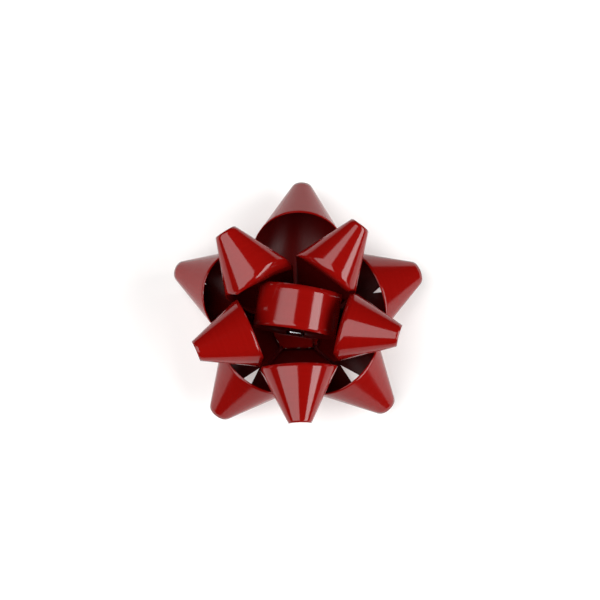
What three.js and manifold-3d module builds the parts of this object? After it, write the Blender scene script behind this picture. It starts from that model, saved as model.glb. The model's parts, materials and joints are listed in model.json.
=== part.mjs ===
// Pre-made gift bow: a star bow of glossy film ribbon with an adhesive back.
// Ten cone-shaped loops in two layers of five and one round loop in the middle are held by a wire
// staple on a small card, with a foam adhesive pad and a peel-off liner underneath.
// Units are millimetres, +Z is up, and the origin is the middle of the liner's underside.

import * as THREE from "three";
import { mergeVertices } from "three/addons/utils/BufferGeometryUtils.js";
import Module from "manifold-3d";

const wasm = await Module();
wasm.setup();

// ---------- driving dimensions ----------
// How far out and how high the tips of each layer's cones stand.
const LOWER_REACH = 32;
const LOWER_TIP_HEIGHT = 3;
const UPPER_REACH = 28;
const UPPER_TIP_HEIGHT = 25.5;

const RIBBON_WIDTH = 12.7;
const FILM_THICKNESS = 0.2;
const CENTRE_RIBBON_WIDTH = 9.5;
const CENTRE_LOOP_DIAMETER = 17.8;
const CENTRE_LOOP_TURN = -9;
const CENTRE_LOOP_LEAN = -6;
const CENTRE_LOOP_OFFSET = 1.9;
const CENTRE_LOOP_FLAT = 0.3;
const CENTRE_LOOP_CLEARANCE = 0.7;

const LINER_DIAMETER = 18.5;
const LINER_THICKNESS = 0.15;
const LINER_TAB_LENGTH = 5;
const LINER_TAB_WIDTH = 8;
const PAD_DIAMETER = 17;
const PAD_THICKNESS = 1.0;
const CARD_DIAMETER = 18;
const CARD_THICKNESS = 0.5;
const STACK_GAP = 0.1;
const END_CLEARANCE = 0.35;
const END_PITCH = 0.35;

// Each stapled ribbon end is a flat tongue: a neck from the crease to a round part about the middle.
const END_HALF_WIDTH = 3.2;
const END_RADIUS = 4.4;
const CREASE_RADIUS = 5.4;
const CREASE_GAP = 0.3;
const NEIGHBOUR_GAP = 0.4;
const FLATTEN_LENGTH = 5;

const STAPLE_WIRE = 0.5;
const STAPLE_CROWN = 3.4;
const STAPLE_OFFSET = -2.2;
const STAPLE_HOLE_CLEARANCE = 0.3;
const CROWN_CLEARANCE = 0.3;
const CLINCH_LENGTH = 1.1;
const CLINCH_POCKET_CLEARANCE = 0.35;

// The loops were wound by machine and set by hand, so each sits a little differently.
// heading is the way the cone points, in degrees, and reach is how far out its apex is. tip is the
// apex-to-edge distance that leaves the small hole. spread and rise are the cone's half angles across
// and upright. roll turns a cone about its bottom line, and droop is how far below its layer it hangs.
// closing is how much of the slot under the tip is shut, where the strip's two tails cross early.
const LOWER_LOOPS = [
  { heading: 24, reach: LOWER_REACH + 1, tip: 4.6, spread: 28, rise: 18.5 },
  { heading: 88, reach: LOWER_REACH + 2.5, tip: 4.4, spread: 27, rise: 23, closing: 0.5 },
  { heading: 155, reach: LOWER_REACH, tip: 4.6, spread: 26.5, rise: 25, closing: 0.5 },
  { heading: 229, reach: LOWER_REACH - 2, tip: 4.6, spread: 26.5, rise: 22.5 },
  { heading: 317, reach: LOWER_REACH - 1.5, tip: 4.4, spread: 27, rise: 22.5 },
];
const UPPER_LOOPS = [
  { heading: -16, reach: UPPER_REACH - 0.5, tip: 5.2, spread: 22, rise: 19 },
  { heading: 53, reach: UPPER_REACH - 1, tip: 5, spread: 22, rise: 19 },
  { heading: 132, reach: UPPER_REACH - 1, tip: 5, spread: 23.5, rise: 19, roll: 16 },
  { heading: 204, reach: UPPER_REACH, tip: 4.8, spread: 22.5, rise: 19, droop: 0.5 },
  { heading: 271.5, reach: UPPER_REACH + 2, tip: 5, spread: 23, rise: 19 },
];

// How finely curves are stepped.
const TURN_STEPS = 32;
const ALONG_STEPS = 4;
const FLAT_ANGLE_STEPS = 8;
const BAND_STEPS = 48;
const DISC_STEPS = 16;
const END_STEPS = 6;
const STAPLE_STEPS = 40;
const WIRE_STEPS = 4;

// ---------- heights worked out from the stack ----------
const PAD_BOTTOM = LINER_THICKNESS + STACK_GAP;
const CARD_BOTTOM = PAD_BOTTOM + PAD_THICKNESS + STACK_GAP;
const CARD_TOP = CARD_BOTTOM + CARD_THICKNESS;
const FIRST_END_LEVEL = CARD_TOP + END_CLEARANCE + FILM_THICKNESS / 2;
const LOOP_COUNT = LOWER_LOOPS.length + UPPER_LOOPS.length;
const CENTRE_FOOT_LEVEL = FIRST_END_LEVEL + LOOP_COUNT * END_PITCH;
const CROWN_LEVEL = CENTRE_FOOT_LEVEL + FILM_THICKNESS / 2 + CROWN_CLEARANCE + STAPLE_WIRE / 2;

const radians = THREE.MathUtils.degToRad;

// ---------- materials ----------
const filmMaterial = () =>
  new THREE.MeshStandardMaterial({ color: 0xa30f10, roughness: 0.16, metalness: 0 });
const steelMaterial = () =>
  new THREE.MeshStandardMaterial({ color: 0xb9bcc0, roughness: 0.3, metalness: 1 });
const cardMaterial = () =>
  new THREE.MeshStandardMaterial({ color: 0xd9d4cc, roughness: 0.85, metalness: 0 });
const foamMaterial = () =>
  new THREE.MeshStandardMaterial({ color: 0xe8e6e0, roughness: 0.9, metalness: 0 });
const linerMaterial = () =>
  new THREE.MeshStandardMaterial({ color: 0xf0ead2, roughness: 0.5, metalness: 0 });

// ---------- solids ----------
function toSolid(geometry) {
  const bare = geometry.clone();
  bare.deleteAttribute("normal");
  bare.deleteAttribute("uv");
  const merged = mergeVertices(bare, 1e-4);
  return new wasm.Manifold(
    new wasm.Mesh({
      numProp: 3,
      vertProperties: new Float32Array(merged.attributes.position.array),
      triVerts: new Uint32Array(merged.index.array),
    }),
  );
}

function toGeometry(solid) {
  const mesh = solid.getMesh();
  const geometry = new THREE.BufferGeometry();
  geometry.setAttribute("position", new THREE.BufferAttribute(mesh.vertProperties, 3));
  geometry.setIndex(new THREE.BufferAttribute(mesh.triVerts, 1));
  geometry.computeVertexNormals();
  return geometry;
}

// A plate of the outline's shape between two heights.
function plate(outline, bottom, top, curveSegments = DISC_STEPS) {
  const geometry = new THREE.ExtrudeGeometry(outline, {
    depth: top - bottom,
    bevelEnabled: false,
    curveSegments,
  });
  geometry.translate(0, 0, bottom);
  return geometry;
}

function disc(diameter) {
  const outline = new THREE.Shape();
  outline.absarc(0, 0, diameter / 2, 0, 2 * Math.PI, false);
  return outline;
}

// ---------- staple ----------
// The crown lies across the middle loop's foot, parallel to that loop's edges.
const CROWN_TURN = radians(CENTRE_LOOP_TURN);
const CROWN_DIRECTION = new THREE.Vector2(Math.cos(CROWN_TURN), Math.sin(CROWN_TURN));
const ACROSS_CROWN = new THREE.Vector2(-CROWN_DIRECTION.y, CROWN_DIRECTION.x);
const LEG_OFFSET = (STAPLE_CROWN - STAPLE_WIRE) / 2;

function legPosition(side) {
  return ACROSS_CROWN.clone()
    .multiplyScalar(STAPLE_OFFSET)
    .addScaledVector(CROWN_DIRECTION, side * LEG_OFFSET);
}

const LEG_POSITIONS = [legPosition(-1), legPosition(1)];
const LEG_HOLE_RADIUS = STAPLE_WIRE / 2 + STAPLE_HOLE_CLEARANCE;

// Round holes for the two legs, in a frame turned by the given heading.
function addLegHoles(outline, heading) {
  for (const leg of LEG_POSITIONS) {
    const middle = leg.clone().rotateAround(new THREE.Vector2(), -radians(heading));
    const hole = new THREE.Path();
    hole.absarc(middle.x, middle.y, LEG_HOLE_RADIUS, 0, 2 * Math.PI, true);
    outline.holes.push(hole);
  }
}

// One bent wire: clinch, leg, crown, leg, clinch, drawn in the XZ plane.
function makeStaple() {
  const bend = STAPLE_WIRE;
  const clinchLevel = CARD_BOTTOM - STAPLE_WIRE / 2 - STACK_GAP;
  const path = new THREE.CurvePath();
  const at = (x, z) => new THREE.Vector3(x, 0, z);
  const corners = [
    at(-LEG_OFFSET, clinchLevel),
    at(-LEG_OFFSET, CROWN_LEVEL),
    at(LEG_OFFSET, CROWN_LEVEL),
    at(LEG_OFFSET, clinchLevel),
  ];
  const finish = at(LEG_OFFSET - CLINCH_LENGTH, clinchLevel);
  let from = at(CLINCH_LENGTH - LEG_OFFSET, clinchLevel);
  corners.forEach((corner, i) => {
    const next = corners[i + 1] ?? finish;
    const enter = corner.clone().add(from.clone().sub(corner).setLength(bend));
    const leave = corner.clone().add(next.clone().sub(corner).setLength(bend));
    path.add(new THREE.LineCurve3(from, enter));
    path.add(new THREE.QuadraticBezierCurve3(enter, corner, leave));
    from = leave;
  });
  path.add(new THREE.LineCurve3(from, finish));
  return new THREE.ExtrudeGeometry(disc(STAPLE_WIRE), {
    steps: STAPLE_STEPS,
    extrudePath: path,
    curveSegments: WIRE_STEPS,
  });
}

function indexed(vertices, triangles) {
  const geometry = new THREE.BufferGeometry();
  geometry.setAttribute("position", new THREE.Float32BufferAttribute(vertices, 3));
  geometry.setIndex(triangles);
  geometry.computeVertexNormals();
  return geometry;
}

// ---------- cone loops ----------
// A straight strip of film wrapped into a cone. Its straight lines all pass through the apex, and the
// strip's two long edges stay parallel when the cone is laid flat. In the loop's own frame +X is the
// heading and the bottom line runs from the apex to the crease at the edge of the stapled end.
function makeLoop(loop, tipHeight, level, sectorBefore, sectorAfter) {
  const crease = CREASE_RADIUS + CREASE_GAP / 2;
  const apex = new THREE.Vector3(loop.reach, 0, tipHeight - (loop.droop ?? 0));
  const bottom = new THREE.Vector3(crease, 0, level).sub(apex).normalize();
  const upright = new THREE.Vector3(bottom.z, 0, -bottom.x);
  const roll = radians(loop.roll ?? 0);
  const side = new THREE.Vector3(0, 1, 0).applyAxisAngle(bottom, roll);
  upright.applyAxisAngle(bottom, roll);
  const spread = Math.tan(radians(loop.spread));
  const rise = radians(loop.rise);
  const axis = bottom.clone().multiplyScalar(Math.cos(rise)).addScaledVector(upright, Math.sin(rise));
  const over = upright.clone().multiplyScalar(Math.cos(rise)).addScaledVector(bottom, -Math.sin(rise));
  const line = (angle) =>
    axis
      .clone()
      .addScaledVector(side, spread * Math.sin(angle))
      .addScaledVector(over, Math.tan(rise) * Math.cos(angle))
      .normalize();

  // The flat angle from the top line, found by adding small turns.
  const half = TURN_STEPS / 2;
  const fine = FLAT_ANGLE_STEPS;
  const flatAngle = [0];
  let total = 0;
  for (let i = 1; i <= half * fine; i++) {
    const a = (Math.PI * (i - 1)) / (half * fine);
    const b = (Math.PI * i) / (half * fine);
    total += line(a).angleTo(line(b));
    if (i % fine === 0) flatAngle.push(total);
  }

  const bottomSlope = (apex.z - level) / (apex.x - crease);
  const place = (point) => {
    const bottomHeight = level + bottomSlope * (point.x - crease);
    const t = THREE.MathUtils.clamp((point.x - crease) / FLATTEN_LENGTH, 0, 1);
    const keep = t * t * (3 - 2 * t);
    return new THREE.Vector3(point.x, point.y, bottomHeight + (point.z - bottomHeight) * keep);
  };

  const grid = [];
  for (let i = 0; i < TURN_STEPS; i++) {
    const angle = (2 * Math.PI * (i - half)) / TURN_STEPS;
    const direction = line(angle);
    const stretch = 1 / Math.cos(flatAngle[Math.abs(i - half)]);
    const start = loop.tip * stretch ** (1 - (loop.closing ?? 0));
    let end = (loop.tip + RIBBON_WIDTH) * stretch;
    end = Math.min(end, (crease - apex.x) / direction.x);
    const sector = direction.y > 0 ? sectorAfter : sectorBefore;
    const slope = Math.tan(sector);
    const offset = NEIGHBOUR_GAP / Math.cos(sector);
    const opening = Math.abs(direction.y) - slope * direction.x;
    end = Math.min(end, (slope * apex.x - offset) / opening);
    const row = [];
    for (let j = 0; j <= ALONG_STEPS; j++) {
      const distance = start + ((end - start) * j) / ALONG_STEPS;
      row.push(place(apex.clone().addScaledVector(direction, distance)));
    }
    grid.push(row);
  }
  return thicken(grid, FILM_THICKNESS);
}

// A closed skin of the given thickness about a grid that wraps round on its first index.
function thicken(grid, thickness) {
  const rows = grid.length;
  const columns = grid[0].length;
  const at = (i, j) => grid[(i + rows) % rows][j];
  const vertices = [];
  const triangles = [];
  for (const sign of [1, -1]) {
    for (let i = 0; i < rows; i++) {
      for (let j = 0; j < columns; j++) {
        const round = at(i + 1, j).clone().sub(at(i - 1, j));
        const along = at(i, Math.min(j + 1, columns - 1)).clone().sub(at(i, Math.max(j - 1, 0)));
        const normal = new THREE.Vector3().crossVectors(round, along).normalize();
        const point = at(i, j).clone().addScaledVector(normal, (sign * thickness) / 2);
        vertices.push(point.x, point.y, point.z);
      }
    }
  }
  const index = (layer, i, j) => (layer * rows + (i % rows)) * columns + j;
  const quad = (a, b, c, d) => triangles.push(a, b, c, a, c, d);
  for (let i = 0; i < rows; i++) {
    for (let j = 0; j + 1 < columns; j++) {
      quad(index(0, i, j), index(0, i + 1, j), index(0, i + 1, j + 1), index(0, i, j + 1));
      quad(index(1, i, j), index(1, i, j + 1), index(1, i + 1, j + 1), index(1, i + 1, j));
    }
    const last = columns - 1;
    quad(index(0, i, 0), index(1, i, 0), index(1, i + 1, 0), index(0, i + 1, 0));
    quad(index(0, i, last), index(0, i + 1, last), index(1, i + 1, last), index(1, i, last));
  }
  return indexed(vertices, triangles);
}

// The stapled end of a loop: the strip's crossed tails, pressed flat, with two leg holes.
function makeEnd(heading, level) {
  const edge = CREASE_RADIUS - CREASE_GAP / 2;
  const neck = Math.asin(END_HALF_WIDTH / END_RADIUS);
  const outline = new THREE.Shape();
  outline.moveTo(edge, -END_HALF_WIDTH);
  outline.lineTo(edge, END_HALF_WIDTH);
  outline.absarc(0, 0, END_RADIUS, neck, 2 * Math.PI - neck, false);
  outline.closePath();
  addLegHoles(outline, heading);
  return plate(outline, level - FILM_THICKNESS / 2, level + FILM_THICKNESS / 2, END_STEPS);
}

// ---------- middle loop ----------
// A round band whose foot is pressed flat where it is stapled. Its outline is drawn about its middle.
function roundBand(radius) {
  const foot = CENTRE_LOOP_FLAT - radius;
  const points = [];
  for (let i = 0; i < BAND_STEPS; i++) {
    const angle = (2 * Math.PI * (i + 0.5)) / BAND_STEPS;
    points.push(new THREE.Vector2(radius * Math.sin(angle), Math.max(-radius * Math.cos(angle), foot)));
  }
  return points;
}

// Stands the band up, leans it, and turns and lifts it to its place on the stapled ends.
function placeBand(outline, width) {
  const geometry = new THREE.ExtrudeGeometry(outline, { depth: width, bevelEnabled: false });
  geometry.translate(0, 0, -width / 2);
  geometry.rotateX(Math.PI / 2);
  geometry.translate(0, CENTRE_LOOP_OFFSET, CENTRE_LOOP_DIAMETER / 2 - CENTRE_LOOP_FLAT);
  const lean = Math.tan(radians(CENTRE_LOOP_LEAN));
  geometry.applyMatrix4(new THREE.Matrix4().makeShear(0, 0, 0, 0, 0, lean));
  geometry.rotateZ(radians(CENTRE_LOOP_TURN));
  geometry.translate(0, 0, CENTRE_FOOT_LEVEL - FILM_THICKNESS / 2);
  return geometry;
}

function makeCentreLoop() {
  const radius = CENTRE_LOOP_DIAMETER / 2;
  const outline = new THREE.Shape(roundBand(radius));
  outline.holes.push(new THREE.Path(roundBand(radius - FILM_THICKNESS)));
  let solid = toSolid(placeBand(outline, CENTRE_RIBBON_WIDTH));
  for (const leg of LEG_POSITIONS) {
    const depth = FILM_THICKNESS + 2 * LEG_HOLE_RADIUS;
    const drill = new THREE.CylinderGeometry(LEG_HOLE_RADIUS, LEG_HOLE_RADIUS, depth, DISC_STEPS);
    drill.rotateX(Math.PI / 2);
    drill.translate(leg.x, leg.y, CENTRE_FOOT_LEVEL);
    solid = solid.subtract(toSolid(drill));
  }
  return toGeometry(solid);
}

// The room that the middle loop needs, which the upper loops' mouths are cut back from.
function centreLoopRoom(heading) {
  const radius = CENTRE_LOOP_DIAMETER / 2 + CENTRE_LOOP_CLEARANCE;
  const outline = new THREE.Shape(roundBand(radius));
  const geometry = placeBand(outline, CENTRE_RIBBON_WIDTH + 2 * CENTRE_LOOP_CLEARANCE);
  geometry.rotateZ(-radians(heading));
  return toSolid(geometry);
}

// ---------- card, pad and liner ----------
function makeCard() {
  const outline = disc(CARD_DIAMETER);
  addLegHoles(outline, 0);
  return plate(outline, CARD_BOTTOM, CARD_TOP);
}

// The pad has one long pocket through it, where the clinched legs lie.
function makePad() {
  const outline = disc(PAD_DIAMETER);
  const half = LEG_OFFSET + STAPLE_WIRE / 2 + CLINCH_POCKET_CLEARANCE;
  const width = STAPLE_WIRE / 2 + CLINCH_POCKET_CLEARANCE;
  const middle = ACROSS_CROWN.clone().multiplyScalar(STAPLE_OFFSET);
  const at = (along, across) =>
    middle.clone().addScaledVector(CROWN_DIRECTION, along).addScaledVector(ACROSS_CROWN, across);
  outline.holes.push(
    new THREE.Path([at(-half, -width), at(half, -width), at(half, width), at(-half, width)].reverse()),
  );
  return plate(outline, PAD_BOTTOM, PAD_BOTTOM + PAD_THICKNESS);
}

function makeLiner() {
  const radius = LINER_DIAMETER / 2;
  const halfTab = LINER_TAB_WIDTH / 2;
  const start = Math.asin(halfTab / radius);
  const tabEnd = radius + LINER_TAB_LENGTH;
  const outline = new THREE.Shape();
  outline.absarc(0, 0, radius, start, 2 * Math.PI - start, false);
  outline.lineTo(tabEnd - halfTab, -halfTab);
  outline.absarc(tabEnd - halfTab, 0, halfTab, -Math.PI / 2, Math.PI / 2, false);
  return plate(outline, 0, LINER_THICKNESS);
}

// ---------- assembly ----------
const bow = new THREE.Group();

function addPart(name, geometry, material, parent = bow) {
  const mesh = new THREE.Mesh(geometry, material);
  mesh.name = name;
  parent.add(mesh);
  return mesh;
}

addPart("release_liner", makeLiner(), linerMaterial());
addPart("adhesive_pad", makePad(), foamMaterial());
addPart("backing_card", makeCard(), cardMaterial());

// Half the angle between a loop and its neighbour, so each loop keeps to its own sector.
function halfGap(layer, from, to) {
  const count = layer.length;
  const turn = layer[(to + count) % count].heading - layer[(from + count) % count].heading;
  return radians(((turn + 360) % 360) / 2);
}

function addLayer(layer, prefix, tipHeight, firstLevel, besideCentre) {
  layer.forEach((loop, i) => {
    const level = firstLevel + i * END_PITCH;
    const turned = new THREE.Group();
    turned.rotation.z = radians(loop.heading);
    bow.add(turned);
    const before = halfGap(layer, i - 1, i);
    const after = halfGap(layer, i, i + 1);
    let shape = makeLoop(loop, tipHeight, level, before, after);
    if (besideCentre) shape = toGeometry(toSolid(shape).subtract(centreLoopRoom(loop.heading)));
    addPart(`${prefix}_loop_${i + 1}`, shape, filmMaterial(), turned);
    addPart(`${prefix}_end_${i + 1}`, makeEnd(loop.heading, level), filmMaterial(), turned);
  });
}

const FIRST_UPPER_LEVEL = FIRST_END_LEVEL + LOWER_LOOPS.length * END_PITCH;
addLayer(LOWER_LOOPS, "lower", LOWER_TIP_HEIGHT, FIRST_END_LEVEL, false);
addLayer(UPPER_LOOPS, "upper", UPPER_TIP_HEIGHT, FIRST_UPPER_LEVEL, true);
addPart("centre_loop", makeCentreLoop(), filmMaterial());
const staple = addPart("staple", makeStaple(), steelMaterial());
staple.rotation.z = radians(CENTRE_LOOP_TURN);
staple.position.set(ACROSS_CROWN.x * STAPLE_OFFSET, ACROSS_CROWN.y * STAPLE_OFFSET, 0);

export default bow;
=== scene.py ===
# %% [markdown]
# # A pre-made gift bow
# A star bow is made of glossy film ribbon: two layers of cone-shaped loops stand round one narrow
# round loop, all held by a wire staple on a small card with a sticky foam back. The joints, levels and
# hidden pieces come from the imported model. This lesson makes the film that is seen, and the ribbon's
# sizes are set below to the same values as the model's.

# %% Load the fixed frame
import json
import math
import bmesh
import bpy
from mathutils import Matrix, Vector


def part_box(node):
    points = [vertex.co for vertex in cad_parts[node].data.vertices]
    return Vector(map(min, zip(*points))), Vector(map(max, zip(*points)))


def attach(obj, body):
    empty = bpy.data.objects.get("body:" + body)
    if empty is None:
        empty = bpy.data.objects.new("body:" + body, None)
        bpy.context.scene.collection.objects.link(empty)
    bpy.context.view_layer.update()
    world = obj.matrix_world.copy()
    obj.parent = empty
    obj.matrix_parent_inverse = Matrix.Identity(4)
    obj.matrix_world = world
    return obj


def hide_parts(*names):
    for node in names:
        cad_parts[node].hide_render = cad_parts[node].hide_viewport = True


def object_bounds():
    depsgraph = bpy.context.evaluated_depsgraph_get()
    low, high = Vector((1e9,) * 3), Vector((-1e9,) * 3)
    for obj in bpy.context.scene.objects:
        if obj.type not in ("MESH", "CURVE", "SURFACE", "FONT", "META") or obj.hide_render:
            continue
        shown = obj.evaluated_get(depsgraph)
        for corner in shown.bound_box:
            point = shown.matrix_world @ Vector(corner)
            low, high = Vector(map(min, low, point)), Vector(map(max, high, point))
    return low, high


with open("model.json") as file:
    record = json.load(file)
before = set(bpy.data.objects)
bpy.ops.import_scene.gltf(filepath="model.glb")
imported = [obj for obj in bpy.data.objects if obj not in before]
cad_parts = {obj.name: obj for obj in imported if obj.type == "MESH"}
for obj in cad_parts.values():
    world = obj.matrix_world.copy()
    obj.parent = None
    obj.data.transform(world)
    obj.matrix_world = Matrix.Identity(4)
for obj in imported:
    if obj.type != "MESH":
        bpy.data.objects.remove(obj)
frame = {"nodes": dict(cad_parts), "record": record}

CAD_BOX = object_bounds()
RECORD = frame["record"]
JOINTS = {joint["child"]: joint for joint in RECORD["behaviour"]["joints"]}
MM = 0.001

# %% [markdown]
# ## Colours and nodes
# A maker picks colours as sRGB hex values, but a shader works in linear light, so one function turns
# them. A second small function adds a node, sets its inputs and links them, so that each material
# below reads as a short list of what happens to the surface.

# %% Colour and node helpers
def linear(hex_colour):
    """The linear RGBA of an sRGB hex colour."""
    channels = [int(hex_colour[i:i + 2], 16) / 255 for i in (1, 3, 5)]
    return [c / 12.92 if c <= 0.04045 else ((c + 0.055) / 1.055) ** 2.4 for c in channels] + [1.0]


def add_node(material, kind, settings=None, links=None):
    """A new node: settings go to its inputs or its own properties, and links join inputs to sources."""
    tree = material.node_tree
    node = tree.nodes.new(kind)
    for name, value in (settings or {}).items():
        if isinstance(name, int) or name in node.inputs:
            node.inputs[name].default_value = value
        else:
            setattr(node, name, value)
    for name, source in (links or {}).items():
        tree.links.new(source, node.inputs[name])
    return node


def new_material(name, settings):
    """A named material and its shader, with some of the shader's inputs set."""
    material = bpy.data.materials.new(name)
    material.use_nodes = True
    shader = material.node_tree.nodes["Principled BSDF"]
    for socket, value in settings.items():
        shader.inputs[socket].default_value = value
    return material, shader


def link(material, source, shader, socket):
    material.node_tree.links.new(source, shader.inputs[socket])


print("film red in linear light", [round(channel, 3) for channel in linear("#800A07")])

# %% [markdown]
# ## The ribbon's finish
# The ribbon is polypropylene film, cast and then lacquered on its face. The lacquer gives a clear,
# hard gloss over a deep red, so soft lights show in it as pale wedges with clean edges. A coat layer in
# the shader would add highlights of its own, so one smooth specular layer stands for the lacquer. The
# cast film isn't quite flat: it has slow waves a few millimetres apart, and fine draw lines along its
# length, which are drawn 0.6 mm apart so that they show. Both are far shallower than the film is thick,
# so they are bump and not mesh. The ribbon's own length and width are kept in a UV map in millimetres,
# so the lines follow every curl.

# %% Lacquered polypropylene film, face side
DRAW_LINES_PER_MM = (0.08, 1.6, 1.0)
WAVES_PER_MM = 0.22
DRAW_LINE_SHARE = 0.12
WAVE_HEIGHT = 0.02 * MM


def ribbon_film(name, red, deep_red, roughness, specular):
    """Film with draw lines along it. roughness is its (lowest, highest) value between the lines."""
    material, shader = new_material(name, {"IOR": 1.49, "Metallic": 0.0, "Specular IOR Level": specular})
    place = add_node(material, "ShaderNodeUVMap", {"uv_map": "ribbon"}).outputs["UV"]
    along = add_node(material, "ShaderNodeMapping", {"Scale": DRAW_LINES_PER_MM},
                     {"Vector": place})
    draw = add_node(material, "ShaderNodeTexNoise", {"Scale": 1.0, "Detail": 3.0, "Roughness": 0.6},
                    {"Vector": along.outputs["Vector"]})
    waves = add_node(material, "ShaderNodeTexNoise", {"Scale": WAVES_PER_MM, "Detail": 1.0},
                     {"Vector": place})
    tone = add_node(material, "ShaderNodeMix", {"data_type": "RGBA", 6: linear(deep_red), 7: linear(red)},
                    {"Factor": draw.outputs["Fac"]})
    link(material, tone.outputs[2], shader, "Base Color")
    low, high = roughness
    rough = add_node(material, "ShaderNodeMapRange", {"To Min": low, "To Max": high},
                     {"Value": draw.outputs["Fac"]})
    link(material, rough.outputs["Result"], shader, "Roughness")
    height = add_node(material, "ShaderNodeMath", {"operation": "MULTIPLY_ADD", 1: DRAW_LINE_SHARE},
                      {0: draw.outputs["Fac"], 2: waves.outputs["Fac"]})
    bump = add_node(material, "ShaderNodeBump", {"Strength": 0.6, "Distance": WAVE_HEIGHT},
                    {"Height": height.outputs["Value"]})
    link(material, bump.outputs["Normal"], shader, "Normal")
    return material


face_film = ribbon_film("lacquered_polypropylene_face", "#800A07", "#740705", (0.08, 0.13), 0.36)
print("made", face_film.name)

# %% [markdown]
# The back of the strip isn't lacquered. It is the same dyed film, but duller. It lines the inside of
# every loop, where little light reaches, and its darker red is painted shade for that dim inside.

# %% Bare polypropylene film, back side, darkened with painted shade
# The duller gloss is the real unlacquered back. The darker red is painted shade for the loops' insides.
back_film_painted_shade = ribbon_film("bare_polypropylene_back_painted_shade", "#4E0303", "#400202", (0.30, 0.38), 0.12)
print("made", back_film_painted_shade.name)

# %% [markdown]
# ## Wire, board, foam and liner
# The staple is bright drawn steel. Its draw marks are too fine to show, so it has a soft 0.15 mm grain.
# The card is grey-white pulp board, matt and fibrous. The pad is closed-cell foam, whose tiny bubbles
# are about 0.2 mm wide, and the liner is yellowish paper with a thin silicone gloss.

# %% Drawn steel wire
def drawn_steel(grain_mm):
    material, shader = new_material("drawn_steel_wire", {"Metallic": 1.0})
    place = add_node(material, "ShaderNodeTexCoord").outputs["Object"]
    grain = add_node(material, "ShaderNodeTexNoise", {"Scale": 1 / (grain_mm * MM), "Detail": 2.0},
                     {"Vector": place})
    tone = add_node(material, "ShaderNodeMix",
                    {"data_type": "RGBA", 6: linear("#B4B8BC"), 7: linear("#DADDE0")},
                    {"Factor": grain.outputs["Fac"]})
    link(material, tone.outputs[2], shader, "Base Color")
    rough = add_node(material, "ShaderNodeMapRange", {"To Min": 0.18, "To Max": 0.32},
                     {"Value": grain.outputs["Fac"]})
    link(material, rough.outputs["Result"], shader, "Roughness")
    return material


steel = drawn_steel(0.15)
print("made", steel.name)

# %% Pulp board, foam and paper
def fibrous(name, light, dark, roughness, grain_mm, depth_mm):
    """A matt, fibrous or bubbly material, with grain_mm between its grains and depth_mm of relief."""
    material, shader = new_material(name, {"IOR": 1.5, "Metallic": 0.0, "Roughness": roughness})
    place = add_node(material, "ShaderNodeTexCoord").outputs["Object"]
    grain = add_node(material, "ShaderNodeTexNoise",
                     {"Scale": 1 / (grain_mm * MM), "Detail": 4.0, "Roughness": 0.65}, {"Vector": place})
    tone = add_node(material, "ShaderNodeMix", {"data_type": "RGBA", 6: linear(dark), 7: linear(light)},
                    {"Factor": grain.outputs["Fac"]})
    link(material, tone.outputs[2], shader, "Base Color")
    bump = add_node(material, "ShaderNodeBump", {"Strength": 0.5, "Distance": depth_mm * MM},
                    {"Height": grain.outputs["Fac"]})
    link(material, bump.outputs["Normal"], shader, "Normal")
    return material


board = fibrous("pulp_board", "#D8D3CA", "#C4BDB2", 0.85, 0.4, 0.03)
foam = fibrous("closed_cell_foam", "#EDEBE4", "#D5D2C9", 0.8, 0.2, 0.05)
liner_paper = fibrous("siliconed_paper", "#F1EAD0", "#E6DDBE", 0.42, 0.6, 0.01)
print("made", board.name, foam.name, liner_paper.name)

# %% [markdown]
# ## How a straight strip becomes a cone
# A star bow's loop is a straight strip rolled so that its face never stretches. Every straight line on
# the roll points at one apex, just outside the small hole at the tip. Laid flat again, the strip's two
# edges are parallel, so an edge is nearest the apex at the top of the loop and runs away from it
# towards the bottom. A cone primitive would have round ends, so the strip is worked out line by line:
# the flat angle is added up from small turns, and the distance along each line is the width divided by
# its cosine.

# %% Film thickness, mesh steps and the listed loops
# reach and height place a cone's apex and tip is the apex-to-edge distance, in mm. spread and rise are
# the half angles across and upright, and roll turns the cone about its bottom line, in degrees.
# closing narrows the slot under the tip, as tails that cross there do: at 0 the strip is straight.
FILM = 0.14 * MM
RIBBON_WIDTH = 12.7 * MM
CREASE_GAP = 0.3 * MM
CREASE_RADIUS = 5.4 * MM
NEIGHBOUR_GAP = 0.4 * MM
FLATTEN_LENGTH = 5.0 * MM
TURN_STEPS = 144
ALONG_STEPS = 18
FLAT_ANGLE_STEPS = 4

LOOPS = {
    "lower_loop_1": dict(reach=33.0, height=3.0, tip=4.6, spread=28.0, rise=18.5),
    "lower_loop_2": dict(reach=34.5, height=3.0, tip=4.4, spread=27.0, rise=23.0, closing=0.5),
    "lower_loop_3": dict(reach=32.0, height=3.0, tip=4.6, spread=26.5, rise=25.0, closing=0.5),
    "lower_loop_4": dict(reach=30.0, height=3.0, tip=4.6, spread=26.5, rise=22.5),
    "lower_loop_5": dict(reach=30.5, height=3.0, tip=4.4, spread=27.0, rise=22.5),
    "upper_loop_1": dict(reach=27.5, height=25.5, tip=5.2, spread=22.0, rise=19.0),
    "upper_loop_2": dict(reach=27.0, height=25.5, tip=5.0, spread=22.0, rise=19.0),
    "upper_loop_3": dict(reach=27.0, height=25.5, tip=5.0, spread=23.5, rise=19.0, roll=16.0),
    "upper_loop_4": dict(reach=28.0, height=25.0, tip=4.8, spread=22.5, rise=19.0),
    "upper_loop_5": dict(reach=30.0, height=25.5, tip=5.0, spread=23.0, rise=19.0),
}


def heading_of(name):
    """The direction a loop points in, from its hinge: the hinge's axis lies across it."""
    axis = JOINTS[name]["axis"]
    return math.atan2(axis[0], -axis[1])


def half_gap(name, step):
    """Half the angle to the next loop of the same layer, so that a loop keeps to its own sector."""
    layer = sorted((other for other in LOOPS if other[:5] == name[:5]), key=heading_of)
    near = layer[(layer.index(name) + step) % len(layer)]
    return ((heading_of(near) - heading_of(name)) * step % math.tau) / 2


print("headings", {name: round(math.degrees(heading_of(name)), 1) for name in LOOPS})

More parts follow.
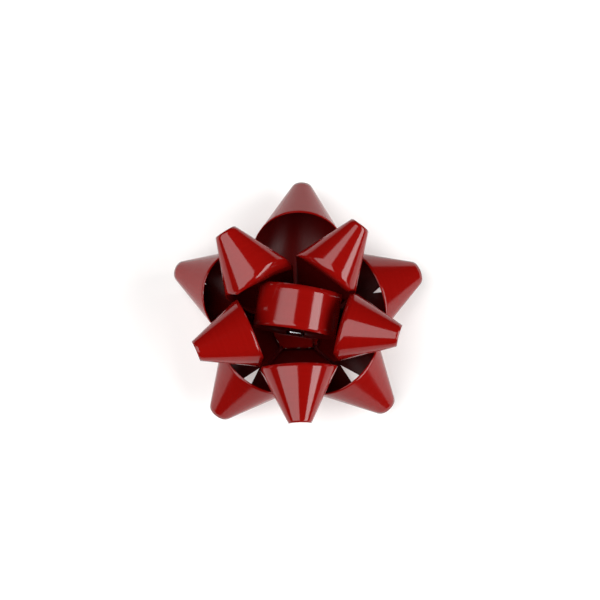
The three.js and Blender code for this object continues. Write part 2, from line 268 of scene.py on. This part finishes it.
# %% Lines of the cone
def cone_grid(name):
    """Rows of (point, ribbon length, ribbon width) round the cone, in the loop's own turned frame."""
    loop = LOOPS[name]
    level = JOINTS[name]["pos_m"][2]
    crease = CREASE_RADIUS + CREASE_GAP / 2
    apex = Vector((loop["reach"] * MM, 0, loop["height"] * MM))
    bottom = (Vector((crease, 0, level)) - apex).normalized()
    lean = Matrix.Rotation(math.radians(loop.get("roll", 0)), 3, bottom)
    side = lean @ Vector((0, 1, 0))
    upright = lean @ Vector((bottom.z, 0, -bottom.x))
    rise = math.radians(loop["rise"])
    spread = math.tan(math.radians(loop["spread"]))
    axis = bottom * math.cos(rise) + upright * math.sin(rise)
    over = upright * math.cos(rise) - bottom * math.sin(rise)

    def line(angle):
        across = side * spread * math.sin(angle)
        return (axis + across + over * math.tan(rise) * math.cos(angle)).normalized()

    half = TURN_STEPS // 2
    fine_steps = half * FLAT_ANGLE_STEPS
    flat = [0.0]
    total = 0.0
    for i in range(fine_steps):
        total += line(math.pi * i / fine_steps).angle(line(math.pi * (i + 1) / fine_steps))
        if (i + 1) % FLAT_ANGLE_STEPS == 0:
            flat.append(total)

    slope = (apex.z - level) / (apex.x - crease)
    rows = []
    for i in range(TURN_STEPS + 1):
        direction = line(math.tau * (i - half) / TURN_STEPS)
        turned = flat[abs(i - half)]
        stretch = 1 / math.cos(turned)
        start = loop["tip"] * MM * stretch ** (1 - loop.get("closing", 0))
        end = min((loop["tip"] * MM + RIBBON_WIDTH) * stretch, (crease - apex.x) / direction.x)
        sector = half_gap(name, 1 if direction.y > 0 else -1)
        opening = abs(direction.y) - math.tan(sector) * direction.x
        end = min(end, (math.tan(sector) * apex.x - NEIGHBOUR_GAP / math.cos(sector)) / opening)
        row = []
        for j in range(ALONG_STEPS + 1):
            distance = start + (end - start) * j / ALONG_STEPS
            point = apex + direction * distance
            low = level + slope * (point.x - crease)
            t = min(max((point.x - crease) / FLATTEN_LENGTH, 0), 1)
            point.z = low + (point.z - low) * t * t * (3 - 2 * t)
            length = distance * math.sin(turned) * (1 if i > half else -1)
            row.append((point, length / MM, distance * math.cos(turned) / MM))
        rows.append(row)
    return rows


top_row = cone_grid("lower_loop_1")[TURN_STEPS // 2]
print("strip width at the top line, mm", round(top_row[-1][2] - top_row[0][2], 2))

# %% [markdown]
# ## From lines to a thin strip
# The film has two skins, so each loop is a closed thin solid: one skin out, one in, joined along the
# tip edge and the mouth edge. A Solidify modifier would do it too. Building both skins here shows where
# the ribbon's length and width go into the UV map, and which skin has which finish.

# %% Thin strip from a grid
def object_from(name, mesh):
    """An object in the scene from a bmesh, which is then freed."""
    data = bpy.data.meshes.new(name)
    mesh.to_mesh(data)
    mesh.free()
    made = bpy.data.objects.new(name, data)
    bpy.context.scene.collection.objects.link(made)
    return made


def strip_mesh(name, rows, thickness):
    """A closed thin strip about rows of (point, length, width), whose last row lies on the first."""
    count = len(rows) - 1
    columns = len(rows[0])
    mesh = bmesh.new()
    uv_layer = mesh.loops.layers.uv.new("ribbon")
    skins = []
    for sign in (1, -1):
        skin = []
        for i in range(count):
            line = []
            for j in range(columns):
                around = rows[(i + 1) % count][j][0] - rows[(i - 1) % count][j][0]
                onward = rows[i][min(j + 1, columns - 1)][0] - rows[i][max(j - 1, 0)][0]
                normal = around.cross(onward).normalized()
                line.append(mesh.verts.new(rows[i][j][0] + normal * sign * thickness / 2))
            skin.append(line)
        skins.append(skin)

    def face(corners, places, finish, smooth=True):
        made = mesh.faces.new(corners)
        made.material_index = finish
        made.smooth = smooth
        for corner, place in zip(made.loops, places):
            corner[uv_layer].uv = place

    for i in range(count):
        k = (i + 1) % count
        for j in range(columns - 1):
            cells = [(i, j), (i + 1, j), (i + 1, j + 1), (i, j + 1)]
            places = [rows[a][b][1:] for a, b in cells]
            ring = [(i, j), (k, j), (k, j + 1), (i, j + 1)]
            face([skins[0][a][b] for a, b in ring], places, 0)
            face([skins[1][a][b] for a, b in reversed(ring)], places[::-1], 1)
        for j, flip in ((0, False), (columns - 1, True)):
            edge = [skins[0][i][j], skins[1][i][j], skins[1][k][j], skins[0][k][j]]
            places = [rows[i][j][1:]] * 2 + [rows[i + 1][j][1:]] * 2
            face(edge[::-1] if flip else edge, places, 0, False)
    piece = object_from(name, mesh)
    piece.data.materials.append(face_film)
    # The inner skin gets the back film, whose darker red is painted shade.
    piece.data.materials.append(back_film_painted_shade)
    return piece


print("film is", round(FILM / MM, 2), "mm thick")

# %% [markdown]
# ## The middle loop
# One narrower strip stands as a round hoop in the middle. Its foot is pressed flat by the staple and
# the hoop leans a little. It is built the same way, as a grid round the hoop.

# %% Hoop outline and place
CENTRE_WIDTH = 9.5 * MM
CENTRE_RADIUS = 8.9 * MM
CENTRE_FLAT = 0.3 * MM
CENTRE_OFFSET = 1.9 * MM
CENTRE_LEAN = math.radians(-6)
CENTRE_TURN = math.radians(-9)
CENTRE_CLEARANCE = 0.7 * MM
FOOT_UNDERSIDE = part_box("centre_loop")[0][2]
STAPLE_OFFSET = -2.2 * MM
LEG_SPACING = 2.9 * MM
LEG_HOLE_RADIUS = 0.55 * MM
HOOP_COLUMNS = 8
ROOM_STEPS = 96
DRILL_SIDES = 32


def place_band(x, y, z):
    """A point of the hoop, from its own upright frame to its leaning, turned place."""
    z = z + CENTRE_RADIUS - CENTRE_FLAT
    y = y + CENTRE_OFFSET + z * math.tan(CENTRE_LEAN)
    turned = Matrix.Rotation(CENTRE_TURN, 3, "Z") @ Vector((x, y, 0))
    return Vector((turned.x, turned.y, z + FOOT_UNDERSIDE))


def hoop_rows(radius, width, steps, columns):
    """Rows of (point, ribbon length, ribbon width) round a hoop whose foot is pressed flat."""
    rows = []
    for i in range(steps + 1):
        angle = math.tau * (i + 0.5) / steps
        x = radius * math.sin(angle)
        z = max(-radius * math.cos(angle), CENTRE_FLAT - radius)
        row = []
        for j in range(columns + 1):
            across = (0.5 - j / columns) * width
            row.append((place_band(x, across, z), radius * angle / MM, across / MM))
        rows.append(row)
    return rows


print("hoop's foot is at", round(FOOT_UNDERSIDE / MM, 2), "mm")

# %% [markdown]
# The staple's two legs go through the hoop's foot, so two short drills cut their holes. On the real bow
# the legs pierce the film as the bow is stapled. The cut is exact, so the film stays one closed skin.

# %% Make the hoop and cut the leg holes
def cut(piece, tool):
    """Take the tool's shape out of the piece."""
    trim = piece.modifiers.new("trim", "BOOLEAN")
    trim.operation = "DIFFERENCE"
    trim.solver = "EXACT"
    trim.object = tool
    bpy.context.view_layer.objects.active = piece
    bpy.ops.object.modifier_apply(modifier=trim.name)


def make_drills():
    """Two short drills where the staple's legs go through the hoop's foot."""
    mesh = bmesh.new()
    for side in (-0.5, 0.5):
        middle = Vector((side * LEG_SPACING, STAPLE_OFFSET, FOOT_UNDERSIDE))
        place = Matrix.Rotation(CENTRE_TURN, 4, "Z") @ Matrix.Translation(middle)
        bmesh.ops.create_cone(mesh, cap_ends=True, segments=DRILL_SIDES, radius1=LEG_HOLE_RADIUS,
                              radius2=LEG_HOLE_RADIUS, depth=4 * LEG_HOLE_RADIUS, matrix=place)
    return object_from("leg_drills", mesh)


def make_hoop():
    """The standing hoop, with its holes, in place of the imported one."""
    rows = hoop_rows(CENTRE_RADIUS - FILM / 2, CENTRE_WIDTH, TURN_STEPS, HOOP_COLUMNS)
    hoop = strip_mesh("middle_hoop", rows, FILM)
    drills = make_drills()
    cut(hoop, drills)
    bpy.data.objects.remove(drills, do_unlink=True)
    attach(hoop, "centre_loop")
    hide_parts("centre_loop")
    return hoop


print("hoop faces", len(make_hoop().data.polygons))

# %% [markdown]
# The same outline, with more room round it, is used to trim the upper loops' mouths. On the real bow
# the hoop pushes them aside.

# %% Room for the hoop
def make_room():
    """A closed solid a little larger than the hoop's space."""
    radius = CENTRE_RADIUS + CENTRE_CLEARANCE
    rows = hoop_rows(radius, CENTRE_WIDTH + 2 * CENTRE_CLEARANCE, ROOM_STEPS, 1)[:-1]
    mesh = bmesh.new()
    ends = [[mesh.verts.new(row[side][0]) for row in rows] for side in (0, 1)]
    mesh.faces.new(ends[0])
    mesh.faces.new(ends[1][::-1])
    for i in range(len(rows)):
        k = (i + 1) % len(rows)
        mesh.faces.new([ends[0][k], ends[0][i], ends[1][i], ends[1][k]])
    bmesh.ops.recalc_face_normals(mesh, faces=mesh.faces)
    return object_from("hoop_room", mesh)


room = make_room()
print("room for the hoop, mm", [round(side / MM, 1) for side in room.dimensions])

# %% [markdown]
# ## The ten cone loops
# Each loop is made in its own frame and turned to its heading, and an upper loop is trimmed round the
# hoop's room. Then it rides on the body that flexes at its crease. The trimming tool is deleted last.

# %% Make and trim the loops
def make_loop(name, room):
    """One cone loop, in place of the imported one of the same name."""
    piece = strip_mesh(name + "_ribbon", cone_grid(name), FILM)
    piece.data.transform(Matrix.Rotation(heading_of(name), 4, "Z"))
    if name.startswith("upper"):
        cut(piece, room)
    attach(piece, name)
    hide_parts(name)
    return piece


for loop_name in LOOPS:
    print(loop_name, "faces", len(make_loop(loop_name, room).data.polygons))
bpy.data.objects.remove(room, do_unlink=True)

# %% [markdown]
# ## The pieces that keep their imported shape
# The stapled ends, staple, card, pad and liner already have their real shapes: flat punched sheet
# with square cut edges, and a bent wire. They only get their finishes here.

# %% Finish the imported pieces
def finish_node(name, material):
    """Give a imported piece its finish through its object, so that its mesh stays as it was."""
    for slot in frame["nodes"][name].material_slots:
        slot.link = "OBJECT"
        slot.material = material


for layer_name in ("lower", "upper"):
    for number in range(1, 6):
        finish_node(f"{layer_name}_end_{number}", face_film)
finish_node("staple", steel)
finish_node("backing_card", board)
finish_node("adhesive_pad", foam)
finish_node("release_liner", liner_paper)
print("finished the ends, staple, card, pad and liner")

# %% [markdown]
# ## Table, lights and camera
# The bow lies on a plain pale table. Glossy film shows its surroundings more than its own colour, so
# the lights matter as much as the lacquer: a large soft box high on the left gives the wide pale
# wedges, a narrow one on the right gives the thin ones, and the rest of the room is almost dark. The
# table glows a little, as a lit acrylic table does, so that the bow's shadow stays faint. The camera
# looks down from 0.6 m away, as a person does who has the bow on a table in front of them.

# %% Table
TABLE_SIZE = 4.0
TABLE_GAP = 0.1 * MM
TABLE_GLOW = 0.26


def make_table():
    bpy.ops.mesh.primitive_plane_add(size=TABLE_SIZE, location=(0, 0, CAD_BOX[0][2] - TABLE_GAP))
    table = bpy.context.object
    table.name = "table_top"
    material, shader = new_material("lit_white_acrylic_table", {"Roughness": 0.6, "IOR": 1.49})
    shader.inputs["Base Color"].default_value = linear("#D8D6D5")
    shader.inputs["Emission Color"].default_value = linear("#FFFBF9")
    shader.inputs["Emission Strength"].default_value = TABLE_GLOW
    table.data.materials.append(material)


make_table()
print("table is", TABLE_SIZE, "m wide")

# %% Lights
LIGHT_DISTANCE = 0.7


def soft_box(name, direction, across, along, radiance):
    """A soft box facing the bow: across is its size in Y, and along is its size in its own arc."""
    light = bpy.data.lights.new(name, "AREA")
    light.shape = "RECTANGLE"
    light.size = across
    light.size_y = along
    light.energy = radiance * math.pi * across * along
    lamp = bpy.data.objects.new(name, light)
    bpy.context.scene.collection.objects.link(lamp)
    away = Vector(direction).normalized()
    across_axis = (Vector((0, 1, 0)) - away * away.y).normalized()
    turn = Matrix((across_axis, away.cross(across_axis), away)).transposed().to_4x4()
    lamp.matrix_world = Matrix.Translation(away * LIGHT_DISTANCE) @ turn
    print(name, round(light.energy, 1), "W")


soft_box("large_soft_box", (-0.52, -0.12, 0.83), 0.72, 0.80, 4.0)
soft_box("narrow_soft_box", (0.8, -0.22, 0.6), 0.8, 0.34, 7.6)

# %% Room
ROOM_TOP = 0.28


def make_room_light(near_floor, overhead):
    """A dark room, less dark near the floor. ROOM_TOP is the sine of the angle where that ends."""
    world = bpy.data.worlds.new("studio_room")
    bpy.context.scene.world = world
    world.use_nodes = True
    place = add_node(world, "ShaderNodeTexCoord").outputs["Generated"]
    parts = add_node(world, "ShaderNodeSeparateXYZ", {}, {"Vector": place})
    level = add_node(world, "ShaderNodeMapRange",
                     {"interpolation_type": "SMOOTHSTEP", "From Min": 0.0, "From Max": ROOM_TOP,
                      "To Min": near_floor, "To Max": overhead}, {"Value": parts.outputs["Z"]})
    background = world.node_tree.nodes["Background"]
    world.node_tree.links.new(level.outputs["Result"], background.inputs["Strength"])


make_room_light(0.2, 0.02)
print("made", bpy.context.scene.world.name)

# %% Camera
CAMERA_ELEVATION = math.radians(78)
CAMERA_DISTANCE = 0.6
CAMERA_LENS = 165.6
CAMERA_SENSOR = 36
CAMERA_REACH = 20
AIM = Vector((0.65, 5.31, 5.13)) * MM

camera_data = bpy.data.cameras.new("camera")
camera_data.lens = CAMERA_LENS
camera_data.sensor_width = CAMERA_SENSOR
camera_data.clip_end = CAMERA_REACH
camera = bpy.data.objects.new("camera", camera_data)
bpy.context.scene.collection.objects.link(camera)
towards = Vector((0, -math.cos(CAMERA_ELEVATION), math.sin(CAMERA_ELEVATION)))
camera.location = AIM + towards * CAMERA_DISTANCE
camera.rotation_euler = (-towards).to_track_quat("-Z", "Y").to_euler()
bpy.context.scene.camera = camera
bpy.context.scene.view_settings.view_transform = "Standard"
print("camera at", tuple(round(v, 3) for v in camera.location))
